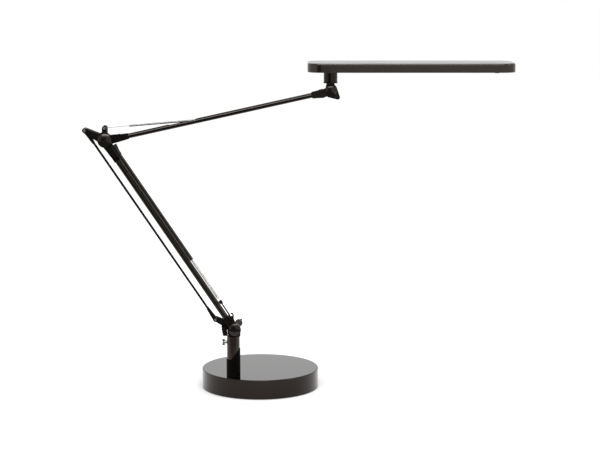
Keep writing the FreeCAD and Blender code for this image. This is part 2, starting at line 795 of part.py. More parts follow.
def lower_arm_fork():
    """Moulded elbow end: fork round the upper arm's tongue, plug in the tube, and the
    carrier of the spring tube on its near side."""
    half_y = cheek_inner_y - tongue_gap
    eye = fork_eye_radius
    neck_top = fork_body_half + fork_step / 3
    body = joined(across(eye, -half_y, half_y),
                  slab([(0, -fork_neck), (fork_wide_end - 2 * fork_step, -fork_wide_low),
                        (fork_wide_end, -fork_wide_low), (fork_wide_end + fork_step, -fork_body_low),
                        (lower_tube_start, -fork_body_low), (lower_tube_start, fork_body_half),
                        (carrier_start, neck_top), (0, fork_neck)], -half_y, half_y))
    slot = slab([(-2 * eye, -2 * eye), (fork_slot_end, -2 * eye), (fork_slot_end, 2 * eye),
                 (-2 * eye, 2 * eye)], -fork_slot_half, fork_slot_half)
    body = body.cut(slot)
    carrier = cylinder(carrier_radius, vec(carrier_start, spring_tube_y, spring_tube_z),
                       vec(carrier_end, spring_tube_y, spring_tube_z))
    bridge = slab([(carrier_start, -bridge_low), (carrier_end, -bridge_low),
                   (carrier_end, spring_tube_z), (carrier_start, spring_tube_z)],
                  spring_tube_y - bridge_reach, -half_y + cut_past)
    horn = slab([(carrier_start, spring_tube_z), carrier_horn, carrier_horn_foot,
                 (carrier_end, spring_tube_z)], spring_tube_y - bridge_reach, carrier_flat_y)
    past_flat = Part.makeBox(carrier_end, carrier_radius, 3 * carrier_radius,
                             vec(carrier_start - cut_past, carrier_flat_y, neck_top))
    body = joined(body, carrier.cut(past_flat), bridge.cut(past_flat), horn)
    body = body.cut(cylinder(spring_tube_radius + fitted_gap,
                             vec(spring_tube_start, spring_tube_y, spring_tube_z),
                             vec(arm_length, spring_tube_y, spring_tube_z)))
    bore = lower_tube_radius - tube_wall
    plug = cylinder(bore - fitted_gap, vec(lower_tube_start - cut_past, 0, lower_tube_z),
                    vec(lower_tube_start + plug_length, 0, lower_tube_z))
    return drilled(joined(body, plug), pivot_bolt_radius + turning_gap)


def lower_arm_tongue(tube_end):
    """Moulded lower end: flat tongue between the bracket's cheeks, plug in the tube."""
    half_y = cheek_inner_y - tongue_gap
    tongue = joined(across(lower_tongue_radius, -half_y, half_y, arm_length, 0),
                    slab([(tube_end, -lower_tongue_low), (arm_length, -lower_tongue_radius),
                          (arm_length, lower_tongue_radius), (tube_end, lower_tongue_half)],
                         -half_y, half_y))
    bore = lower_tube_radius - tube_wall
    plug = cylinder(bore - fitted_gap, vec(tube_end - plug_length, 0, lower_tube_z),
                    vec(tube_end + cut_past, 0, lower_tube_z))
    return drilled(joined(tongue, plug), pivot_bolt_radius + turning_gap, arm_length, 0)


def lower_spring_parts():
    step_in = 2 * spring_turn_radius
    coil_start = arm_length - lower_spring_coil_tail
    coil_end = arm_length - lower_spring_tail - step_in
    lead_in = anchor_tail - lower_spring_coil_tail - step_in - anchor_radius - wire_touch
    spring = coil_spring(coil_start, coil_end, lower_spring_turns, lead_in, 2 * spring_wire)
    spring.translate(vec(0, spring_tube_y, spring_tube_z))
    spring = along_arm(spring, elbow_pivot, lower_arm_angle - 180)
    return {"lower_spring": spring, "lower_spring_hook": lower_spring_hook()}


def lower_spring_hook():
    """Black wire from the spring's ferrule down to an oval eye on the bracket's stud."""
    start_x = arm_length - lower_spring_tail + 2 * spring_wire
    edge = hook_ferrule_radius / 5
    ferrule = lathe([(0, 0), (hook_ferrule_radius - edge, 0), (hook_ferrule_radius, edge),
                     (hook_ferrule_radius, hook_ferrule * 0.6), (hook_wire + edge, hook_ferrule),
                     (0, hook_ferrule)], vec(start_x, spring_tube_y, spring_tube_z), vec(1, 0, 0))
    ferrule = along_arm(ferrule, elbow_pivot, lower_arm_angle - 180)
    spot = FreeCAD.Placement(vec(elbow_x, arm_plane_y, elbow_z),
                             FreeCAD.Rotation(vec(0, 1, 0), 180 - lower_arm_angle))
    begin = spot.multVec(vec(start_x + hook_ferrule * 0.75, spring_tube_y, spring_tube_z))
    stud = vec(pivot_x + stud_x, arm_plane_y + hook_y, lower_pivot_z + stud_z)
    low = stud + vec(hook_centre[0], 0, hook_centre[1])
    high = low + vec(0, 0, hook_side)
    side = vec(hook_turn_radius, 0, 0)
    down = vec(0, 0, -1)
    bend = high - side
    arriving = (bend - begin).normalize()
    cut_back = hook_bend_radius * math.tan(math.acos(arriving.dot(down)) / 2)
    bend_in = bend - arriving * cut_back
    bend_out = bend + down * cut_back

    def on_top(angle):
        reach = math.radians(angle)
        return high + vec(hook_turn_radius * math.cos(reach), 0, hook_turn_radius * math.sin(reach))

    edges = [Part.LineSegment(begin, bend_in).toShape(),
             arc_between(bend_in, bend, bend_out),
             Part.LineSegment(bend_out, low - side).toShape(),
             Part.Arc(low - side, low + down * hook_turn_radius, low + side).toShape(),
             Part.LineSegment(low + side, high + side).toShape(),
             Part.Arc(high + side, on_top(hook_close / 2), on_top(hook_close)).toShape()]
    return joined(ferrule, wire_body(edges, hook_wire))


# ---- level rod, built along +X from the elbow's ear ----

def rod_parts():
    def rod_end(eye_radius, eye_x, way, length, pin_gap):
        eye = across(eye_radius, -rod_end_half_y, rod_end_half_y, eye_x, 0)
        neck_x = eye_x + way * (length - rod_neck_radius)
        neck = plate([strap(eye_x, 0, eye_radius, neck_x, 0, rod_neck_radius)],
                     -rod_neck_radius, rod_neck_radius)
        socket = cylinder(rod_radius + fitted_gap, vec(eye_x + way * (length - rod_socket), 0, 0),
                          vec(eye_x + way * (length + cut_past), 0, 0))
        return drilled(joined(eye, neck).cut(socket), pin_radius + pin_gap, eye_x, 0)

    start = upper_rod_end_length - rod_socket
    finish = arm_length - lower_rod_end_length + rod_socket
    ear = (elbow_x + link_x, elbow_z + link_z)
    parts = {"level_rod": cylinder(rod_radius, vec(start, 0, 0), vec(finish, 0, 0)),
             "rod_end_upper": rod_end(upper_rod_eye_radius, 0, 1, upper_rod_end_length,
                                      open_pivot_gap),
             "rod_end_lower": rod_end(lower_rod_eye_radius, arm_length, -1, lower_rod_end_length,
                                      turning_gap)}
    return {name: along_arm(shape, ear, lower_arm_angle - 180) for name, shape in parts.items()}


# ---- elbow plates ----

def elbow_cheek(low_y, high_y):
    cheek = plate([disc(elbow_disc_radius),
                   strap(0, 0, elbow_strap_foot, link_x, link_z, elbow_ear_radius),
                   strap(0, 0, elbow_ear_radius, 0, spring_ear_z, elbow_ear_radius)],
                  low_y, high_y, ear_fillet)
    for x, z, radius in ((0, 0, pivot_bolt_radius), (link_x, link_z, pin_radius),
                         (0, spring_ear_z, pin_radius)):
        cheek = drilled(cheek, radius + fitted_gap, x, z)
    return cheek


def elbow_parts():
    pins = [pin_with_heads(pin_radius, x, z, -cheek_outer_y, cheek_outer_y)
            for x, z in ((link_x, link_z), (0, spring_ear_z))]
    bore = pin_radius + fitted_gap
    groove = roller_radius - roller_groove
    half = cheek_inner_y
    lip = roller_groove_half
    roller = lathe([(bore, -half), (roller_radius, -half), (roller_radius, -lip),
                    (groove, -lip / 2), (groove, lip / 2), (roller_radius, lip),
                    (roller_radius, half), (bore, half)], vec(0, 0, spring_ear_z), vec(0, 1, 0))
    parts = {"elbow_plate_front": elbow_cheek(-cheek_outer_y, -cheek_inner_y),
             "elbow_plate_back": elbow_cheek(cheek_inner_y, cheek_outer_y),
             "ear_pins": Part.makeCompound(pins), "spring_roller": roller,
             "elbow_bolt": pivot_bolt(cheek_outer_y, cheek_outer_y + bolt_head),
             "elbow_nut": pivot_nut(cheek_outer_y),
             "elbow_caps": Part.makeCompound([dome_cap(elbow_cap_radius, side, cheek_outer_y)
                                              for side in (-1, 1)])}
    return {name: at_pivot(shape, elbow_pivot) for name, shape in parts.items()}


# ---- upper arm, built along +X from the elbow ----

def upper_arm_parts():
    tube_end = arm_length - upper_tube_tail
    bore = upper_tube_radius - tube_wall
    tube = cylinder(upper_tube_radius, vec(upper_tube_start, 0, upper_tube_z),
                    vec(tube_end, 0, upper_tube_z))
    tube = tube.cut(cylinder(bore, vec(0, 0, upper_tube_z), vec(arm_length, 0, upper_tube_z)))
    slot_first = slot_start + slot_half
    slot_last = slot_end - slot_half
    slot_top = upper_tube_radius + cut_past
    slot = Part.makeBox(slot_last - slot_first, 2 * slot_half, slot_top,
                        vec(slot_first, -slot_half, upper_tube_z))
    ends = [cylinder(slot_half, vec(x, 0, upper_tube_z), vec(x, 0, upper_tube_z + slot_top))
            for x in (slot_first, slot_last)]
    tube = tube.cut(joined(slot, *ends))
    ear = upper_spring_ear()
    anchor_z = ear.z - (upper_anchor_at - ear.x) * math.tan(math.radians(upper_spring_fall))
    anchor_half = upper_tube_radius + sliding_gap
    anchor = across(anchor_radius, -anchor_half, anchor_half, upper_anchor_at, anchor_z)
    parts = {"upper_tube": drilled(tube, anchor_radius + fitted_gap, upper_anchor_at, anchor_z),
             "upper_arm_tongue": upper_arm_tongue(bore),
             "upper_head_tongue": upper_head_tongue(tube_end, bore), "upper_spring_anchor": anchor}
    return {name: along_arm(shape, elbow_pivot, upper_arm_angle) for name, shape in parts.items()}


def upper_spring_ear():
    """The spring ear's pin, seen in the upper arm's own frame."""
    lean = math.radians(upper_arm_angle)
    return vec(spring_ear_z * math.sin(lean), 0, spring_ear_z * math.cos(lean))


def upper_arm_tongue(bore):
    """Moulded elbow end of the upper arm: thin tongue, stepped body, plug."""
    step = upper_fit_ramp
    body_start = fork_slot_end - step
    thin = joined(across(upper_eye_radius, -upper_tongue_half_y, upper_tongue_half_y),
                  slab([(0, step - upper_eye_radius), (fork_slot_end, -upper_fit_low),
                        (fork_slot_end, upper_fit_top), (0, upper_eye_radius - step)],
                       -upper_tongue_half_y, upper_tongue_half_y))
    over = upper_tube_radius + upper_fit_lip
    body = slab([(body_start, -upper_fit_low), (upper_tube_start, upper_tube_z - over),
                 (upper_tube_start, upper_tube_z + over), (upper_fit_step, upper_fit_top - step),
                 (upper_fit_step - step, upper_fit_top), (body_start, upper_fit_top)],
                -upper_fit_half_y, upper_fit_half_y)
    plug = cylinder(bore - fitted_gap, vec(upper_tube_start - cut_past, 0, upper_tube_z),
                    vec(upper_tube_start + plug_length, 0, upper_tube_z))
    return drilled(joined(thin, body, plug), pivot_bolt_radius + turning_gap)


def upper_head_tongue(tube_end, bore):
    """Moulded head end of the upper arm: plug, stepped body, tongue at the head pivot."""
    step = arm_length - head_fit_step
    ramp = head_fit_ramp
    shoulder = arm_length - knuckle_disc_radius - head_fit_clear
    low = upper_tube_z - head_fit_half - ramp / 2
    high = upper_tube_z + head_fit_half
    start = upper_tube_radius + ramp / 4
    body = slab([(tube_end, upper_tube_z - start), (tube_end + ramp, low + ramp),
                 (step, low + ramp / 4), (step + ramp / 2, low), (shoulder, low - ramp / 4),
                 (shoulder, high), (step + ramp / 2, high), (step, high - ramp / 4),
                 (tube_end + ramp, high - ramp / 2), (tube_end, upper_tube_z + start)],
                -head_fit_half_y, head_fit_half_y)
    thin = joined(across(head_tongue_radius, -head_tongue_half_y, head_tongue_half_y, arm_length, 0),
                  slab([(shoulder - cut_past, low), (arm_length, -head_tongue_radius),
                        (arm_length, head_tongue_radius), (shoulder - cut_past, high - ramp / 2)],
                       -head_tongue_half_y, head_tongue_half_y))
    plug = cylinder(bore - fitted_gap, vec(tube_end - plug_length, 0, upper_tube_z),
                    vec(tube_end + cut_past, 0, upper_tube_z))
    return drilled(joined(body, thin, plug), pivot_bolt_radius + turning_gap, arm_length, 0)


def upper_spring():
    """Spring from the ear's roller down into the upper tube, one unbroken wire."""
    places = coil_places(upper_spring_coil_start, upper_spring_coil_end, upper_spring_turns)
    step_in = vec(2 * spring_turn_radius, 0, 0)
    begin = vec(upper_spring_coil_start, 0, 0) - step_in
    finish = vec(upper_spring_coil_end, 0, 0) + step_in
    ahead = vec(1, 0, 0)
    # eye round the roller: open below, over the top, then straight to the spring's axis
    ring = roller_radius - roller_groove + spring_wire + wire_touch
    neck = ahead * (ring * spring_eye_neck)
    leave = math.degrees(math.acos(ring / neck.x))

    def on_eye(angle):
        turn = math.radians(angle)
        return vec(ring * math.cos(turn), 0, ring * math.sin(turn))

    stop = on_eye(spring_eye_open)
    turn = math.radians(spring_eye_open)
    stop_way = vec(-math.sin(turn), 0, math.cos(turn))
    touch = on_eye(leave)
    out_way = (touch - neck).normalize()
    neck_in = neck + out_way * (2 * spring_wire)
    neck_out = neck + ahead * (2 * spring_wire)
    edges = [Part.LineSegment(stop + stop_way * (2 * spring_wire), stop).toShape(),
             Part.Arc(stop, on_eye((leave + spring_eye_open) / 2), touch).toShape(),
             Part.LineSegment(touch, neck_in).toShape(),
             arc_between(neck_in, neck, neck_out),
             Part.LineSegment(neck_out, begin).toShape()]
    edges += coil_edges(begin, places, finish)
    ear = upper_spring_ear()
    run = (upper_anchor_at - ear.x) / math.cos(math.radians(upper_spring_fall))
    edges.append(Part.LineSegment(finish, ahead * (run - anchor_radius - wire_touch)).toShape())
    spring = wire_body(edges, spring_wire)
    spring.rotate(vec(0, 0, 0), vec(0, 1, 0), upper_spring_fall)
    spring.translate(ear)
    return along_arm(spring, elbow_pivot, upper_arm_angle)


# ---- head knuckle ----

def knuckle_parts():
    left = boss_offset - knuckle_neck_half
    right = boss_offset + knuckle_neck_half
    flare = knuckle_round * 0.8
    neck_low = knuckle_disc_radius / 2
    top = boss_bottom - sliding_gap
    bridge = top - knuckle_roof
    neck = patch([(left - flare, neck_low), (right + flare, neck_low), (right, top), (left, top)])
    ear = strap(0, 0, knuckle_disc_radius, knuckle_ear_x, knuckle_ear_z, knuckle_ear_radius)
    heel = strap(*knuckle_heel, knuckle_ear_x, knuckle_ear_z, knuckle_ear_radius)
    sides = [plate([ear, neck, heel], low_y, low_y + knuckle_thick, knuckle_round)
             for low_y in (-knuckle_outer_y, knuckle_cheek_y)]
    roof = slab([(left, bridge), (right, bridge), (right, top), (left, top)],
                -knuckle_cheek_y, knuckle_cheek_y)
    groove_low = head_bush_top + sliding_gap + boss_bottom
    groove_high = groove_low + clip_thick
    groove = head_spindle_radius - clip_groove
    spindle_foot = bridge + knuckle_roof / 4
    spindle_top = boss_bottom + head_spindle_top
    axis = vec(boss_offset, 0, 0)
    spindle = lathe([(0, spindle_foot), (head_spindle_radius, spindle_foot),
                     (head_spindle_radius, groove_low), (groove, groove_low), (groove, groove_high),
                     (head_spindle_radius, groove_high), (head_spindle_radius, spindle_top),
                     (0, spindle_top)], axis, vec(0, 0, 1))
    knuckle = joined(*sides, roof, spindle)
    knuckle = drilled(knuckle, pivot_bolt_radius + fitted_gap)
    knuckle = drilled(knuckle, stop_pin_radius + fitted_gap, knuckle_ear_x, knuckle_ear_z)
    pin_end = knuckle_outer_y + stop_pin_stand
    clip = lathe([(groove + fitted_gap, groove_low), (clip_radius, groove_low),
                  (clip_radius, groove_high - fitted_gap),
                  (groove + fitted_gap, groove_high - fitted_gap)], axis, vec(0, 0, 1))
    parts = {"head_knuckle": knuckle,
             "tilt_stop_pin": across(stop_pin_radius, -pin_end, pin_end, knuckle_ear_x, knuckle_ear_z),
             "head_bolt": pivot_bolt(knuckle_outer_y, knuckle_outer_y + bolt_head),
             "head_nut": pivot_nut(knuckle_outer_y),
             "head_caps": Part.makeCompound([dome_cap(head_cap_radius, side, knuckle_outer_y)
                                             for side in (-1, 1)]),
             "spindle_clip": clip}
    return {name: at_pivot(shape, head_pivot) for name, shape in parts.items()}


# ---- light head, built from the head pivot ----

def rounded_plate(left, right, half, corner, low, high):
    """Plate with rounded corners, lying level, centred on the arm plane."""
    block = Part.makeBox(right - left, 2 * half, high - low, vec(left, -half, low))
    uprights = [e for e in block.Edges
                if abs(e.Vertexes[0].Point.z - e.Vertexes[1].Point.z) > (high - low) / 2]
    return block.makeFillet(corner, uprights)


head_near = boss_offset - head_left          # free edge beside the boss
head_far = head_near + head_length
head_half = head_depth / 2
head_top = head_bottom + head_thick
head_ceiling = head_top - head_wall
sheet_top = head_bottom + cover_sheet


def head_screw_places():
    side = head_half - head_screw_inset
    return [(x, y) for x in (head_near + head_screw_inset, head_far - head_screw_inset)
            for y in (-side, side)]


def head_case():
    """Shell open below, with four screw posts, and the cover sheet that closes it."""
    shell = rounded_plate(head_near, head_far, head_half, head_corner, head_bottom, head_top)
    for level, size in ((head_top, head_top_round), (head_bottom, head_low_round)):
        rim = [e for e in shell.Edges
               if abs(e.BoundBox.ZMin - level) < fitted_gap and abs(e.BoundBox.ZMax - level) < fitted_gap]
        shell = shell.makeFillet(size, rim)
    inner = head_corner - head_wall
    shell = shell.cut(rounded_plate(head_near + head_wall, head_far - head_wall,
                                    head_half - head_wall, inner, head_bottom - cut_past, head_ceiling))
    edge = head_wall + fitted_gap
    sheet = rounded_plate(head_near + edge, head_far - edge, head_half - edge,
                          head_corner - edge, head_bottom, sheet_top)
    sheet = sheet.cut(rounded_plate(head_near + window_left, head_far - window_right, window_half,
                                    window_corner, head_bottom - cut_past, sheet_top + cut_past))
    cone = head_screw_head - head_screw_radius
    screws = []
    for x, y in head_screw_places():
        foot = vec(x, y, head_bottom)
        screw = joined(Part.makeCone(head_screw_head, head_screw_radius, cone, foot),
                       Part.makeCylinder(head_screw_radius, head_screw_length, foot + vec(0, 0, cone)))
        post = Part.makeCylinder(head_post_radius, head_ceiling - sheet_top, vec(x, y, sheet_top))
        shell = joined(shell, post).cut(screw)
        sheet = sheet.cut(screw)
        screws.append(screw)
    return shell, sheet, Part.makeCompound(screws)


def head_lights():
    """Diffuser in the window; light board with its chips under the heat sheet."""
    near = head_near + window_left
    far = head_far - window_right
    lens = rounded_plate(near + fitted_gap, far - fitted_gap, window_half - fitted_gap,
                         window_corner - fitted_gap, head_bottom + window_set_in, sheet_top)
    flange = rounded_plate(near - window_lip, far + window_lip, window_half + window_lip,
                           window_corner, sheet_top, sheet_top + diffuser_thick / 2)
    spreader_half = window_half - spreader_inset
    board_half = spreader_half - board_inset
    board_top = head_ceiling - spreader_thick
    board_low = board_top - board_thick
    spreader = Part.makeBox(far - near, 2 * spreader_half, spreader_thick,
                            vec(near, -spreader_half, board_top))
    board = Part.makeBox(far - near - 2 * board_inset, 2 * board_half, board_thick,
                         vec(near + board_inset, -board_half, board_low))
    chips = []
    pitch = (far - near - 2 * led_end_gap) / (led_count - 1)
    for row in range(led_rows):
        y = (row - (led_rows - 1) / 2) * window_half * led_row_share
        for index in range(led_count):
            x = near + led_end_gap + index * pitch
            chips.append(Part.makeBox(led_size, led_size, led_height,
                                      vec(x - led_size / 2, y - led_size / 2, board_low - led_height)))
    return {"head_diffuser": joined(lens, flange), "heat_spreader": spreader, "led_board": board,
            "led_chips": Part.makeCompound(chips)}


def head_parts():
    shell, sheet, screws = head_case()
    switch_x = head_far - switch_inset
    sheet = sheet.cut(cylinder(switch_radius + turning_gap, vec(switch_x, 0, head_bottom - cut_past),
                               vec(switch_x, 0, sheet_top + cut_past)))
    body_floor = sheet_top + switch_flange_thick + switch_travel + sliding_gap
    side = switch_body_side
    switch_body = Part.makeBox(side, side, head_ceiling - body_floor,
                               vec(switch_x - side / 2, -side / 2, body_floor))
    driver = Part.makeBox(driver_length, driver_width, driver_height,
                          vec(head_near + head_wall + driver_from_edge, -driver_width / 2,
                              head_ceiling - driver_height))
    boss, bush = head_boss_parts()
    parts = {"head_shell": shell, "head_cover_sheet": sheet, "head_screws": screws,
             "led_driver": driver, "switch_body": switch_body, "head_boss": boss, "head_bush": bush}
    parts.update(head_lights())
    return {name: at_pivot(shape, head_pivot) for name, shape in parts.items()}


def head_boss_parts():
    """Round boss under the head, with the bush that turns on the knuckle's spindle."""
    height = head_bottom - boss_bottom
    ceiling = height - boss_wall
    bore = boss_radius - boss_wall
    rim = boss_radius + boss_rim
    centre = vec(boss_offset, 0, boss_bottom)
    boss = lathe([(bore, 0), (rim - boss_rim, 0), (rim, boss_rim), (rim, boss_rim_height),
                  (boss_radius, boss_rim_height + boss_rim), (boss_radius, height), (0, height),
                  (0, ceiling), (bore, ceiling)], centre, vec(0, 0, 1))
    turning = head_spindle_radius + turning_gap
    bush = lathe([(turning, 0), (bore - fitted_gap, 0), (bore - fitted_gap, head_bush_top),
                  (turning, head_bush_top)], centre, vec(0, 0, 1))
    return boss, bush


def switch_button():
    """Push button under the head, held by its flange above the cover sheet."""
    low = head_bottom - switch_stand
    chamfer = switch_radius - switch_flat
    flange_low = sheet_top + switch_seat_gap
    flange_top = sheet_top + switch_flange_thick
    button = lathe([(0, low), (switch_flat, low), (switch_radius, low + chamfer),
                    (switch_radius, flange_low), (switch_flange, flange_low),
                    (switch_flange, flange_top), (0, flange_top)],
                   vec(head_far - switch_inset, 0, 0), vec(0, 0, 1))
    return at_pivot(button, head_pivot)


def build_lamp():
    parts = {}
    parts.update(base_parts())
    parts.update(post_parts())
    parts["thumb_screw"] = thumb_screw()
    parts.update(swivel_parts())
    parts.update(wing_nut())
    parts.update(lower_arm_parts())
    parts.update(lower_spring_parts())
    parts.update(rod_parts())
    parts.update(elbow_parts())
    parts.update(upper_arm_parts())
    parts["upper_spring"] = upper_spring()
    parts.update(knuckle_parts())
    parts.update(head_parts())
    parts["switch_button"] = switch_button()
    return parts


os.makedirs("parts", exist_ok=True)
lamp = build_lamp()
for name, shape in sorted(lamp.items()):
    solids = shape.Solids
    valid = all(solid.isValid() for solid in solids)
    volume = sum(solid.Volume for solid in solids)
    print(f"{name}: {len(solids)} solid(s), valid {valid}, {volume:.0f} mm3")
    shape.exportStep(os.path.join("parts", name + ".step"))
print("pivots", [round(v, 3) for v in (*lower_pivot, *elbow_pivot, *head_pivot)])
print("nodes", len(lamp))
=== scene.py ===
import bpy
import json
import math
from mathutils import Matrix, Vector


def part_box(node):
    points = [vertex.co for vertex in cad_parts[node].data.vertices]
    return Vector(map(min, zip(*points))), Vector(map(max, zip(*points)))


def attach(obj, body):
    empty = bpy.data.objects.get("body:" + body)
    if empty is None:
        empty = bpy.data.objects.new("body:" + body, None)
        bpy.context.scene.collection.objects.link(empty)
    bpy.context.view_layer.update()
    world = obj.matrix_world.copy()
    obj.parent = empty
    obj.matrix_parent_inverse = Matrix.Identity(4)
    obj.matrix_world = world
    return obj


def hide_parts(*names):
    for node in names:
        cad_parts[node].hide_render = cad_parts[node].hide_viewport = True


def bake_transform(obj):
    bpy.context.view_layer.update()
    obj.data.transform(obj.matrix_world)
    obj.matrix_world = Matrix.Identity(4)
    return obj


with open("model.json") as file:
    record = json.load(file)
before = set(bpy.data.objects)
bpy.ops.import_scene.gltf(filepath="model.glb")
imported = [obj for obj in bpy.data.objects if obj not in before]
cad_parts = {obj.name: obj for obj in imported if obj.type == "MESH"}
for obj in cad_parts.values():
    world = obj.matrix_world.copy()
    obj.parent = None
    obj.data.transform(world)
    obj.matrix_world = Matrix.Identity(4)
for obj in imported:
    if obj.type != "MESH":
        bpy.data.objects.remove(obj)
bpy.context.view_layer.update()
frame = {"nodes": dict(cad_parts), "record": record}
print("frame loaded:", len(frame["nodes"]), "nodes")

# pivots of the lamp, metres
armPlane = -0.074
lowerPivot = Vector((-0.0399, armPlane, 0.1145))
elbowPivot = Vector((-0.249345, armPlane, 0.427366))
headPivot = Vector((0.11823, armPlane, 0.508855))
lowerArmAngle = 123.8 - 180      # from the elbow down, degrees above +X
upperArmAngle = 12.5
bodyOf = {node: name for name, nodes in frame["record"]["behaviour"]["bodies"].items() for node in nodes}
slotOf = {part["node"]: part["material_slot"] for part in frame["record"]["subparts"]}


# how the noises behind each finish are drawn
noiseKinds = {
    "tone": dict(detail=5.0, roughness=0.6),
    "wipe": dict(detail=6.0, roughness=0.65),
    "grain": dict(detail=3.0, roughness=0.5),
}
toneBand = (0.35, 0.65)
glossBand = (0.3, 0.7)
grainDepth = 0.0003
lacquer = dict(roughness=0.06, ior=1.2)


def freshFinish(name):
    finish = bpy.data.materials.new(name)
    finish.use_nodes = True
    tree = finish.node_tree
    tree.nodes.clear()
    out = tree.nodes.new("ShaderNodeOutputMaterial")
    shader = tree.nodes.new("ShaderNodeBsdfPrincipled")
    tree.links.new(shader.outputs["BSDF"], out.inputs["Surface"])
    return finish, tree, shader


def onPiece(tree, stretch):
    place = tree.nodes.new("ShaderNodeTexCoord")
    mapping = tree.nodes.new("ShaderNodeMapping")
    mapping.inputs["Scale"].default_value = stretch
    tree.links.new(place.outputs["Object"], mapping.inputs["Vector"])
    return mapping.outputs["Vector"]


def clouds(tree, vector, scale, kind):
    noise = tree.nodes.new("ShaderNodeTexNoise")
    noise.inputs["Scale"].default_value = scale
    noise.inputs["Detail"].default_value = noiseKinds[kind]["detail"]
    noise.inputs["Roughness"].default_value = noiseKinds[kind]["roughness"]
    tree.links.new(vector, noise.inputs["Vector"])
    return noise.outputs["Fac"]


def twoTones(tree, factor, dark, light):
    ramp = tree.nodes.new("ShaderNodeValToRGB")
    ramp.color_ramp.elements[0].position = toneBand[0]
    ramp.color_ramp.elements[0].color = (*dark, 1)
    ramp.color_ramp.elements[1].position = toneBand[1]
    ramp.color_ramp.elements[1].color = (*light, 1)
    tree.links.new(factor, ramp.inputs["Fac"])
    return ramp.outputs["Color"]


def unevenGloss(tree, factor, low, high):
    ranged = tree.nodes.new("ShaderNodeMapRange")
    ranged.inputs["From Min"].default_value = glossBand[0]
    ranged.inputs["From Max"].default_value = glossBand[1]
    ranged.inputs["To Min"].default_value = low
    ranged.inputs["To Max"].default_value = high
    tree.links.new(factor, ranged.inputs["Value"])
    return ranged.outputs["Result"]


def fineGrain(tree, shader, height, strength):
    bump = tree.nodes.new("ShaderNodeBump")
    bump.inputs["Strength"].default_value = strength
    bump.inputs["Distance"].default_value = grainDepth
    tree.links.new(height, bump.inputs["Height"])
    tree.links.new(bump.outputs["Normal"], shader.inputs["Normal"])


def makeFinish(name, look):
    # cloudy colour between two tones, uneven gloss and a fine grain
    finish, tree, shader = freshFinish(name)
    vector = onPiece(tree, look.get("stretch", (1, 1, 1)))
    tone = clouds(tree, vector, look["toneScale"], "tone")
    tree.links.new(twoTones(tree, tone, look["dark"], look["light"]), shader.inputs["Base Color"])
    wipe = clouds(tree, vector, look["wipeScale"], "wipe")
    tree.links.new(unevenGloss(tree, wipe, *look["gloss"]), shader.inputs["Roughness"])
    fine = clouds(tree, vector, look["grainScale"], "grain")
    fineGrain(tree, shader, fine, look["grain"])
    shader.inputs["Metallic"].default_value = look.get("metal", 0.0)
    shader.inputs["Specular IOR Level"].default_value = look.get("shine", 0.5)
    shader.inputs["Specular Tint"].default_value = (*look.get("tint", (1, 1, 1)), 1)
    shader.inputs["Coat Weight"].default_value = look.get("lacquer", 0.0)
    shader.inputs["Coat Roughness"].default_value = lacquer["roughness"]
    shader.inputs["Coat IOR"].default_value = lacquer["ior"]
    return finish


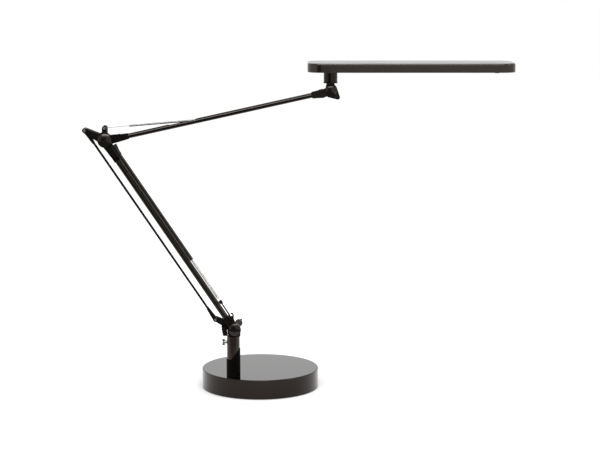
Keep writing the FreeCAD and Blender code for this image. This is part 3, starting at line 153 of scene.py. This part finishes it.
warm = (1.0, 0.88, 0.80)         # cast of the black paint's reflections
looks = {
    "gloss_black": dict(
        dark=(0.0024, 0.0014, 0.0011), light=(0.0048, 0.0030, 0.0024), toneScale=9, wipeScale=14,
        gloss=(0.08, 0.14), grainScale=900, grain=0.01, shine=0.22, tint=(1.0, 0.80, 0.72),
        lacquer=0.6),
    "satin_black": dict(
        dark=(0.0030, 0.0023, 0.0019), light=(0.0066, 0.0050, 0.0043), toneScale=60, wipeScale=90,
        gloss=(0.20, 0.30), grainScale=1600, grain=0.04, shine=0.25, tint=warm),
    "tube_black": dict(
        dark=(0.0024, 0.0017, 0.0014), light=(0.0052, 0.0038, 0.0032), toneScale=40, wipeScale=60,
        gloss=(0.12, 0.19), grainScale=1400, grain=0.02, shine=0.36, tint=warm),
    "moulded_black": dict(
        dark=(0.0030, 0.0023, 0.0020), light=(0.0068, 0.0053, 0.0046), toneScale=70, wipeScale=110,
        gloss=(0.20, 0.30), grainScale=2200, grain=0.06, shine=0.25, tint=warm),
    "cap_black": dict(
        dark=(0.0040, 0.0035, 0.0026), light=(0.0088, 0.0078, 0.0060), toneScale=50, wipeScale=80,
        gloss=(0.14, 0.21), grainScale=1800, grain=0.02, shine=0.32, tint=warm),
    "sleeve_black": dict(
        dark=(0.0008, 0.0007, 0.0007), light=(0.0018, 0.0016, 0.0015), toneScale=60, wipeScale=90,
        gloss=(0.45, 0.60), grainScale=1800, grain=0.10, shine=0.03, tint=warm),
    "head_gloss": dict(
        dark=(0.0050, 0.0040, 0.0035), light=(0.0090, 0.0072, 0.0062), toneScale=12, wipeScale=20,
        gloss=(0.13, 0.20), grainScale=1000, grain=0.02, shine=0.50, tint=warm),
    "post_brown": dict(
        dark=(0.0110, 0.0076, 0.0068), light=(0.0200, 0.0140, 0.0125), toneScale=40, wipeScale=60,
        gloss=(0.14, 0.22), grainScale=1400, grain=0.02, shine=0.26, tint=warm),
    "head_underside": dict(
        dark=(0.0080, 0.0065, 0.0058), light=(0.0150, 0.0122, 0.0112), toneScale=30, wipeScale=60,
        gloss=(0.42, 0.58), grainScale=2400, grain=0.25, shine=0.3, tint=warm),
    "black_wire": dict(
        dark=(0.0030, 0.0027, 0.0024), light=(0.0070, 0.0060, 0.0054), toneScale=140, wipeScale=200,
        gloss=(0.34, 0.48), grainScale=1800, grain=0.08, shine=0.12, tint=warm),
    "rubber_pad": dict(
        dark=(0.010, 0.010, 0.010), light=(0.020, 0.020, 0.019), toneScale=50, wipeScale=90,
        gloss=(0.65, 0.85), grainScale=1200, grain=0.5, shine=0.3),
    "nylon": dict(
        dark=(0.022, 0.022, 0.021), light=(0.040, 0.040, 0.038), toneScale=80, wipeScale=120,
        gloss=(0.35, 0.5), grainScale=1500, grain=0.15),
    "driver_case": dict(
        dark=(0.03, 0.03, 0.03), light=(0.05, 0.05, 0.05), toneScale=60, wipeScale=90,
        gloss=(0.45, 0.6), grainScale=1600, grain=0.3),
    "diffuser_white": dict(
        dark=(0.82, 0.82, 0.80), light=(0.88, 0.88, 0.87), toneScale=20, wipeScale=60,
        gloss=(0.38, 0.5), grainScale=1500, grain=0.2),
    "board_white": dict(
        dark=(0.74, 0.74, 0.70), light=(0.82, 0.82, 0.79), toneScale=80, wipeScale=120,
        gloss=(0.35, 0.5), grainScale=1400, grain=0.15),
    "led_yellow": dict(
        dark=(0.72, 0.60, 0.16), light=(0.86, 0.76, 0.28), toneScale=400, wipeScale=400,
        gloss=(0.3, 0.45), grainScale=2600, grain=0.2),
    "cast_iron": dict(
        dark=(0.10, 0.095, 0.09), light=(0.2, 0.19, 0.18), toneScale=40, wipeScale=70,
        gloss=(0.55, 0.8), grainScale=600, grain=0.6, metal=0.7),
    "dull_steel": dict(
        dark=(0.16, 0.16, 0.155), light=(0.30, 0.30, 0.29), toneScale=160, wipeScale=200,
        gloss=(0.22, 0.36), grainScale=1600, grain=0.08, metal=1.0),
    "zinc_steel": dict(
        dark=(0.42, 0.42, 0.41), light=(0.58, 0.58, 0.55), toneScale=120, wipeScale=200,
        gloss=(0.26, 0.42), grainScale=1600, grain=0.12, metal=1.0),
    "bright_nickel": dict(
        dark=(0.52, 0.50, 0.47), light=(0.68, 0.66, 0.62), toneScale=160, wipeScale=240,
        gloss=(0.18, 0.30), grainScale=1400, grain=0.05, metal=1.0),
    "spring_steel": dict(
        dark=(0.40, 0.39, 0.375), light=(0.56, 0.55, 0.53), toneScale=200, wipeScale=260,
        gloss=(0.30, 0.42), grainScale=1800, grain=0.06, metal=1.0),
    "heat_sheet": dict(
        dark=(0.62, 0.62, 0.62), light=(0.76, 0.76, 0.77), toneScale=60, wipeScale=140,
        gloss=(0.3, 0.45), grainScale=900, grain=0.2, metal=1.0, stretch=(1, 14, 1)),
}
# pieces whose finish isn't their slot's own
ownFinish = {"post_sleeve": "sleeve_black", "lower_spring_hook": "black_wire", "thumb_screw": "dull_steel",
             "tilt_stop_pin": "black_wire", "level_rod": "black_wire", "spring_stud": "cap_black",
             "ear_pins": "zinc_steel", "rod_pin_lower": "zinc_steel", "post_tube": "post_brown",
             "post_bush": "cap_black", "upper_spring": "dull_steel"}
finishes = {slot: makeFinish(slot + "Finish", look) for slot, look in looks.items()}


def finishOf(node):
    return finishes[ownFinish.get(node, slotOf[node])]


for node, piece in frame["nodes"].items():
    for spot in piece.material_slots:
        spot.material = finishOf(node)
print("finishes made:", len(finishes))


def letGo():
    if bpy.context.object and bpy.context.object.mode != "OBJECT":
        bpy.ops.object.mode_set(mode="OBJECT")
    bpy.ops.object.select_all(action="DESELECT")


def pickUp(*pieces):
    letGo()
    for piece in pieces:
        piece.select_set(True)
    bpy.context.view_layer.objects.active = pieces[0]


def settle(piece):
    pickUp(piece)
    bpy.ops.object.transform_apply(location=True, rotation=True, scale=True)


def applyAll(piece):
    pickUp(piece)
    for modifier in list(piece.modifiers):
        bpy.ops.object.modifier_apply(modifier=modifier.name)


smoothAngles = dict(plain=40, turned=30, wire=60)      # degrees


def smooth(piece, angle=smoothAngles["plain"]):
    # rounded faces run into each other, wide flat ones stay flat
    pickUp(piece)
    bpy.ops.object.shade_smooth_by_angle(angle=math.radians(angle))
    flat = piece.modifiers.new("flatFaces", "WEIGHTED_NORMAL")
    flat.keep_sharp = True
    applyAll(piece)


def thicken(piece, amount):
    pickUp(piece)
    bpy.ops.object.mode_set(mode="EDIT")
    bpy.ops.mesh.select_all(action="SELECT")
    bpy.ops.transform.shrink_fatten(value=amount)
    bpy.ops.object.mode_set(mode="OBJECT")


edgeCut = dict(sharper=35, segments=2)                 # degrees, rows of faces


def roundEdges(piece, width):
    edge = piece.modifiers.new("edges", "BEVEL")
    edge.limit_method = "ANGLE"
    edge.angle_limit = math.radians(edgeCut["sharper"])
    edge.width = width
    edge.segments = edgeCut["segments"]
    applyAll(piece)


def joinUp(*pieces):
    pickUp(*pieces)
    bpy.ops.object.join()
    return bpy.context.object


def dress(piece, name, finish, slot, *nodes):
    piece.name = name
    piece.data.name = name
    piece.data.materials.clear()
    piece.data.materials.append(finish)
    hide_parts(*nodes)
    return piece


def armPlace(pivot, angle):
    # where a piece made along +X from the origin goes on an arm
    return Matrix.Translation(pivot) @ Matrix.Rotation(math.radians(-angle), 4, "Y")


merging = dict(near=0.000002, flat=0.05)               # metres, degrees
coats = {"level_rod": 0.0002}                          # thickness added all round, metres


def mergedCopy(node):
    # a node's own shape with its loose triangles joined into whole faces
    letGo()
    piece = bpy.data.objects.new(node, frame["nodes"][node].data.copy())
    bpy.context.collection.objects.link(piece)
    pickUp(piece)
    bpy.ops.object.mode_set(mode="EDIT")
    bpy.ops.mesh.select_all(action="SELECT")
    bpy.ops.mesh.remove_doubles(threshold=merging["near"])
    bpy.ops.mesh.customdata_custom_splitnormals_clear()
    bpy.ops.mesh.dissolve_limited(angle_limit=math.radians(merging["flat"]))
    bpy.ops.object.mode_set(mode="OBJECT")
    return piece


def softened(node, width):
    piece = mergedCopy(node)
    if node in coats:
        thicken(piece, coats[node])
    if width:
        roundEdges(piece, width)
    smooth(piece)
    dress(piece, node + "Edged", finishOf(node), slotOf[node], node)
    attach(piece, bodyOf[node])


# how far each piece's edges are broken, metres; 0 leaves them as they are
edgeWidths = {
    "swivel_bracket": 0.00035, "elbow_plate_front": 0.0004, "elbow_plate_back": 0.0004,
    "head_knuckle": 0.0004, "lower_arm_fork": 0.0004, "lower_arm_tongue": 0.0004,
    "upper_arm_tongue": 0.0005, "upper_head_tongue": 0.0005, "rod_end_upper": 0.0003,
    "rod_end_lower": 0.0003, "cable_gland": 0.0002, "tube_saddles": 0.0002,
    "spring_stud": 0.00015, "rod_pin_lower": 0.0002, "ear_pins": 0.0002, "tilt_stop_pin": 0.0002,
    "lower_pivot_bolt": 0.0003, "lower_pivot_washer": 0.0002, "elbow_bolt": 0.0003, "elbow_nut": 0.0003,
    "head_bolt": 0.0003, "head_nut": 0.0003, "spring_roller": 0.0001, "lower_tube": 0.0002,
    "spring_tube": 0.0001, "upper_tube": 0.0002, "level_rod": 0.0002, "post_tube": 0.0003,
    "post_sleeve": 0.0002, "post_bush": 0.0002, "thumb_screw": 0.0003, "wing_nut": 0.0004,
    "switch_button": 0.0002, "spring_anchor": 0.0001, "upper_spring_anchor": 0.0001,
    "wing_tips": 0, "head_boss": 0, "head_cover_sheet": 0, "head_diffuser": 0, "head_shell": 0,
}
for node, width in edgeWidths.items():
    softened(node, width)
print("pieces softened:", len(edgeWidths))


def builtUp(rings, sides):
    # a disc on the floor drawn up ring by ring, each ring a radius and a height
    letGo()
    radius, height = rings[0]
    bpy.ops.mesh.primitive_circle_add(vertices=sides, radius=radius, fill_type="NGON")
    piece = bpy.context.object
    bpy.ops.object.mode_set(mode="EDIT")
    bpy.ops.mesh.select_all(action="SELECT")
    for wider, higher in rings[1:]:
        bpy.ops.mesh.extrude_region_move(TRANSFORM_OT_translate={"value": (0, 0, higher - height)})
        bpy.ops.transform.resize(value=(wider / radius, wider / radius, 1), center_override=(0, 0, higher))
        radius, height = wider, higher
    bpy.ops.mesh.select_all(action="SELECT")
    bpy.ops.mesh.normals_make_consistent(inside=False)
    bpy.ops.object.mode_set(mode="OBJECT")
    return piece


def pickFaces(piece, wanted):
    pickUp(piece)
    bpy.ops.object.mode_set(mode="EDIT")
    bpy.ops.mesh.select_mode(type="FACE")
    bpy.ops.mesh.select_all(action="DESELECT")
    bpy.ops.object.mode_set(mode="OBJECT")
    for face in piece.data.polygons:
        face.select = wanted(face)
    bpy.ops.object.mode_set(mode="EDIT")


baseCover = dict(radius=0.0986, low=0.0008, high=0.0330, edge=0.0016, steps=5, lip=0.0006, sides=256,
                 clear=0.0002, facingDown=-0.99)


def makeBaseCover():
    look = baseCover
    top = look["high"] - look["low"]
    rings = [(look["radius"] - look["lip"], 0.0), (look["radius"], look["lip"])]
    for step in range(look["steps"] + 1):
        turn = math.radians(90 * step / look["steps"])
        rings.append((look["radius"] - look["edge"] * (1 - math.cos(turn)),
                      top - look["edge"] * (1 - math.sin(turn))))
    rings.append((look["radius"] - 2 * look["edge"], top))
    piece = builtUp(rings, look["sides"])
    # hollowed from below, as far as the weight inside it
    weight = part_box("base_weight")[1]
    pickFaces(piece, lambda face: face.normal.z < look["facingDown"])
    bpy.ops.mesh.inset(thickness=look["radius"] - look["lip"] - weight.x - look["clear"])
    deep = weight.z + look["clear"] - look["low"]
    bpy.ops.mesh.extrude_region_move(TRANSFORM_OT_translate={"value": (0, 0, deep)})
    bpy.ops.object.mode_set(mode="OBJECT")
    piece.location = (0, 0, look["low"])
    settle(piece)
    smooth(piece, smoothAngles["turned"])
    dress(piece, "baseCover", finishOf("base_cover"), slotOf["base_cover"], "base_cover")
    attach(piece, bodyOf["base_cover"])


capShape = dict(side=0.0020, edge=0.00025, shoulder=0.4, steps=12, sides=96)
caps = {
    "lower_pivot_cap": dict(radius=0.0102, pivot=lowerPivot, seats=(-0.0075,)),
    "elbow_caps": dict(radius=0.0114, pivot=elbowPivot, seats=(-0.0075, 0.0075)),
    "head_caps": dict(radius=0.0095, pivot=headPivot, seats=(-0.0062, 0.0062)),
}


def capRings(radius, rise):
    side, edge = capShape["side"], capShape["edge"]
    crown = rise - side
    ball = (radius ** 2 + crown ** 2) / (2 * crown)
    rings = [(radius - edge, 0.0), (radius, edge), (radius, side - edge),
             (radius - edge * capShape["shoulder"], side)]
    for step in range(1, capShape["steps"]):
        ring = radius * (1 - step / capShape["steps"])
        rings.append((ring, side + math.sqrt(ball ** 2 - ring ** 2) - ball + crown))
    return rings


def makeCaps(node):
    look = caps[node]
    rise = armPlane + look["seats"][0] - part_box(node)[0].y
    made = []
    for seat in look["seats"]:
        piece = builtUp(capRings(look["radius"], rise), capShape["sides"])
        piece.rotation_euler = (math.copysign(math.pi / 2, -seat), 0, 0)
        piece.location = look["pivot"] + Vector((0, seat, 0))
        settle(piece)
        smooth(piece, smoothAngles["turned"])
        made.append(piece)
    piece = joinUp(*made)
    dress(piece, node + "Domed", finishOf(node), slotOf[node], node)
    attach(piece, bodyOf[node])


makeBaseCover()
for node in caps:
    makeCaps(node)
print("base cover and domed caps made")


wireShape = dict(steps=16, legSides=12, legEdge=0.2)


def woundWire(look):
    # the wire's round section wound along +X
    letGo()
    bpy.ops.mesh.primitive_circle_add(vertices=look["sides"], radius=look["wire"],
                                      rotation=(math.pi / 2, 0, 0),
                                      location=(look["first"], 0, look["radius"]))
    piece = bpy.context.object
    settle(piece)
    winding = piece.modifiers.new("winding", "SCREW")
    winding.axis = "X"
    winding.angle = 2 * math.pi
    winding.screw_offset = (look["last"] - look["first"]) / look["turns"]
    winding.iterations = look["turns"]
    winding.steps = winding.render_steps = wireShape["steps"]
    applyAll(piece)
    bpy.ops.object.mode_set(mode="EDIT")
    bpy.ops.mesh.select_all(action="SELECT")
    bpy.ops.mesh.fill_holes(sides=0)
    bpy.ops.mesh.normals_make_consistent(inside=False)
    bpy.ops.object.mode_set(mode="OBJECT")
    return piece


def straightWire(start, end, look):
    start, end = Vector(start), Vector(end)
    run = end - start
    letGo()
    bpy.ops.mesh.primitive_cylinder_add(vertices=wireShape["legSides"], radius=look["leg"],
                                        depth=run.length, location=(start + end) / 2,
                                        rotation=run.to_track_quat("Z", "Y").to_euler())
    piece = bpy.context.object
    settle(piece)
    roundEdges(piece, look["leg"] * wireShape["legEdge"])
    return piece


def springPieces(look):
    # winding with both legs on its axis and a crossover at each end
    first, last, radius = look["first"], look["last"], look["radius"]
    return [woundWire(look), straightWire((look["start"], 0, 0), (first, 0, 0), look),
            straightWire((first, 0, 0), (first, 0, radius), look),
            straightWire((last, 0, 0), (last, 0, radius), look),
            straightWire((last, 0, 0), (look["end"], 0, 0), look)]


def placeSpring(pieces, place, name, node):
    piece = joinUp(*pieces)
    piece.data.transform(place)
    smooth(piece, smoothAngles["wire"])
    return dress(piece, name, finishOf(node), slotOf[node], node)


# start is where a spring hangs on its pin or eye, first and last are the ends of its coil
lowerSpring = dict(wire=0.0003, leg=0.0005, radius=0.0019, start=0.2179, first=0.2270, last=0.3172,
                   end=0.3222, turns=150, sides=6, y=-0.0076, z=0.00725)
upperSpring = dict(wire=0.00032, leg=0.00042, radius=0.0014, start=0.0026, first=0.0402, last=0.1430,
                   end=0.1449, turns=160, sides=6, fall=7.6, ear=0.0202, ring=0.0026, ringSteps=32,
                   held=0.004, moved=0.095)


def makeLowerSpring():
    look = lowerSpring
    place = armPlace(elbowPivot, lowerArmAngle) @ Matrix.Translation((0, look["y"], look["z"]))
    piece = placeSpring(springPieces(look), place, "lowerSpring", "lower_spring")
    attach(piece, "lower_arm")


def makeUpperSpring():
    look = upperSpring
    letGo()
    bpy.ops.mesh.primitive_torus_add(major_radius=look["ring"], minor_radius=look["leg"],
                                     major_segments=look["ringSteps"],
                                     minor_segments=wireShape["legSides"], rotation=(math.pi / 2, 0, 0))
    eye = bpy.context.object
    settle(eye)
    lean = math.radians(upperArmAngle)
    place = (armPlace(elbowPivot, upperArmAngle)
             @ Matrix.Translation((look["ear"] * math.sin(lean), 0, look["ear"] * math.cos(lean)))
             @ Matrix.Rotation(math.radians(look["fall"]), 4, "Y"))
    piece = placeSpring(springPieces(look) + [eye], place, "upperSpring", "upper_spring")
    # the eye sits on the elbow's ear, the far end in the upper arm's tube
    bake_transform(piece)


springHook = dict(thicker=0.0004, ferrule=(-0.0595, -0.0816, 0.1570), eye=(-0.0487, -0.0831, 0.1420))


def makeSpringHook():
    piece = mergedCopy("lower_spring_hook")
    thicken(piece, springHook["thicker"])
    smooth(piece)
    dress(piece, "springHook", finishOf("lower_spring_hook"), slotOf["lower_spring_hook"], "lower_spring_hook")
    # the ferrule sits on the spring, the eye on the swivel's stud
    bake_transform(piece)


makeLowerSpring()
makeUpperSpring()
makeSpringHook()
print("springs wound")


def seenDirectly(tree):
    # 1 for what the camera sees, straight or in a reflection
    path = tree.nodes.new("ShaderNodeLightPath")
    total = path.outputs["Is Camera Ray"]
    for kind in ("Is Glossy Ray", "Is Transmission Ray"):
        add = tree.nodes.new("ShaderNodeMath")
        add.operation = "ADD"
        add.use_clamp = True
        tree.links.new(total, add.inputs[0])
        tree.links.new(path.outputs[kind], add.inputs[1])
        total = add.outputs[0]
    return total


paper = dict(size=14, shade=0.86, nearLift=0.26, farLift=0.72, near=0.12, far=0.60)


def makeFloor():
    letGo()
    bpy.ops.mesh.primitive_plane_add(size=paper["size"])
    floor = bpy.context.object
    floor.name = "floor"
    finish = bpy.data.materials.new("whitePaper")
    finish.use_nodes = True
    tree = finish.node_tree
    tree.nodes.clear()
    out = tree.nodes.new("ShaderNodeOutputMaterial")
    both = tree.nodes.new("ShaderNodeAddShader")
    matt = tree.nodes.new("ShaderNodeBsdfDiffuse")
    matt.inputs["Color"].default_value = (paper["shade"],) * 3 + (1,)
    glow = tree.nodes.new("ShaderNodeEmission")
    place = tree.nodes.new("ShaderNodeTexCoord")
    away = tree.nodes.new("ShaderNodeVectorMath")
    away.operation = "LENGTH"
    lift = tree.nodes.new("ShaderNodeMapRange")      # whiter away from the base, its shadow kept near it
    lift.inputs["From Min"].default_value = paper["near"]
    lift.inputs["From Max"].default_value = paper["far"]
    lift.inputs["To Min"].default_value = paper["nearLift"]
    lift.inputs["To Max"].default_value = paper["farLift"]
    level = tree.nodes.new("ShaderNodeMath")
    level.operation = "MULTIPLY"
    tree.links.new(place.outputs["Object"], away.inputs[0])
    tree.links.new(away.outputs["Value"], lift.inputs["Value"])
    tree.links.new(lift.outputs["Result"], level.inputs[0])
    tree.links.new(seenDirectly(tree), level.inputs[1])
    tree.links.new(level.outputs[0], glow.inputs["Strength"])
    tree.links.new(matt.outputs[0], both.inputs[0])
    tree.links.new(glow.outputs[0], both.inputs[1])
    tree.links.new(both.outputs[0], out.inputs["Surface"])
    floor.data.materials.append(finish)


room = dict(soft=0.38, white=1.0)


def makeRoom():
    world = bpy.data.worlds.new("whiteRoom")
    world.use_nodes = True
    bpy.context.scene.world = world
    tree = world.node_tree
    tree.nodes.clear()
    out = tree.nodes.new("ShaderNodeOutputWorld")
    soft = tree.nodes.new("ShaderNodeBackground")
    soft.inputs["Strength"].default_value = room["soft"]
    white = tree.nodes.new("ShaderNodeBackground")
    white.inputs["Strength"].default_value = room["white"]
    for light in (soft, white):
        light.inputs["Color"].default_value = (1, 1, 1, 1)
    mix = tree.nodes.new("ShaderNodeMixShader")
    tree.links.new(seenDirectly(tree), mix.inputs["Fac"])
    tree.links.new(soft.outputs[0], mix.inputs[1])
    tree.links.new(white.outputs[0], mix.inputs[2])
    tree.links.new(mix.outputs[0], out.inputs["Surface"])


lamps = {
    "frontSoftbox": dict(place=(-0.15, -1.75, 1.75), wide=1.8, high=0.6, power=36),
    "topSoftbox": dict(place=(0.3, 0.1, 2.2), wide=1.2, high=0.8, power=12),
    "rightSoftbox": dict(place=(2.0, -0.9, 1.3), wide=0.8, high=1.2, power=11),
}


lampAim = Vector((0, armPlane, 0.25))


def makeLamps():
    for name, look in lamps.items():
        light = bpy.data.lights.new(name, "AREA")
        light.shape = "RECTANGLE"
        light.size = look["wide"]
        light.size_y = look["high"]
        light.energy = look["power"]
        lamp = bpy.data.objects.new(name, light)
        bpy.context.collection.objects.link(lamp)
        lamp.location = look["place"]
        aim = lampAim - lamp.location
        lamp.rotation_euler = aim.to_track_quat("-Z", "Y").to_euler()
        lamp.visible_camera = False


cards = {
    "frontCard": dict(middle=(-1.035, -3.3, 0.8), turn=(90, 0, 0), wide=2.33, high=1.6),
    "lowCard": dict(middle=(-0.70, -1.75, 0.002), turn=(0, 0, 0), wide=2.6, high=2.9),
}


cardLook = dict(colour=(0.02, 0.018, 0.017), roughness=0.9)


def makeCards():
    # dark cards behind the camera and on the floor before the lamp, which show only in the gloss
    dark = bpy.data.materials.new("darkCard")
    dark.use_nodes = True
    shader = dark.node_tree.nodes["Principled BSDF"]
    shader.inputs["Base Color"].default_value = (*cardLook["colour"], 1)
    shader.inputs["Roughness"].default_value = cardLook["roughness"]
    for name, look in cards.items():
        letGo()
        turn = [math.radians(angle) for angle in look["turn"]]
        bpy.ops.mesh.primitive_plane_add(size=1, location=look["middle"], rotation=turn)
        card = bpy.context.object
        card.name = name
        card.scale = (look["wide"], look["high"], 1)
        settle(card)
        card.data.materials.append(dark)
        card.visible_camera = False
        card.visible_diffuse = False
        card.visible_transmission = False
        card.visible_shadow = False


view = dict(place=(0.0675, -2.896, 0.718), down=8.66, lens=104.64, sensor=36)


def makeCamera():
    lens = bpy.data.cameras.new("camera")
    lens.sensor_width = view["sensor"]
    lens.lens = view["lens"]
    camera = bpy.data.objects.new("camera", lens)
    bpy.context.collection.objects.link(camera)
    camera.location = view["place"]
    camera.rotation_euler = (math.radians(90 - view["down"]), 0, 0)
    bpy.context.scene.camera = camera


makeFloor()
makeRoom()
makeLamps()
makeCards()
makeCamera()
bpy.context.scene.view_settings.view_transform = "Standard"
print("stage set")
